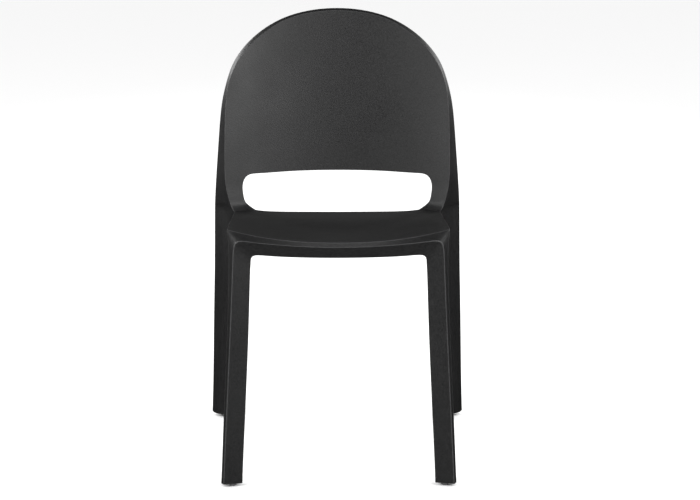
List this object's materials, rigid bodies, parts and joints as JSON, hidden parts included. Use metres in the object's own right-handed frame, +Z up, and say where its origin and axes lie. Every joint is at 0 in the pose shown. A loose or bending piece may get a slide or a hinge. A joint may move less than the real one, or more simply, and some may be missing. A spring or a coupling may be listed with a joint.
{
  "type": "stacking chair",
  "caption": "One-piece moulded stacking chair with an arched back, an opening at the loin, a dished seat and press-in foot glides",
  "frame": {"origin": "on the floor, at the centre of the chair's footprint box", "axes": "+Z up, the chair faces -Y, +X to the sitter's left"},
  "size_m": [0.4996, 0.5159, 0.815],
  "materials": {
    "body_plastic": "fine moulded grain, satin on convex edges",
    "glide_plastic": "plain matte"
  },
  "bodies": {
    "root": {"chair_body": "body_plastic", "foot_glide_front_left": "glide_plastic", "foot_glide_front_right": "glide_plastic", "foot_glide_rear_left": "glide_plastic", "foot_glide_rear_right": "glide_plastic"}
  },
  "joints": []
}
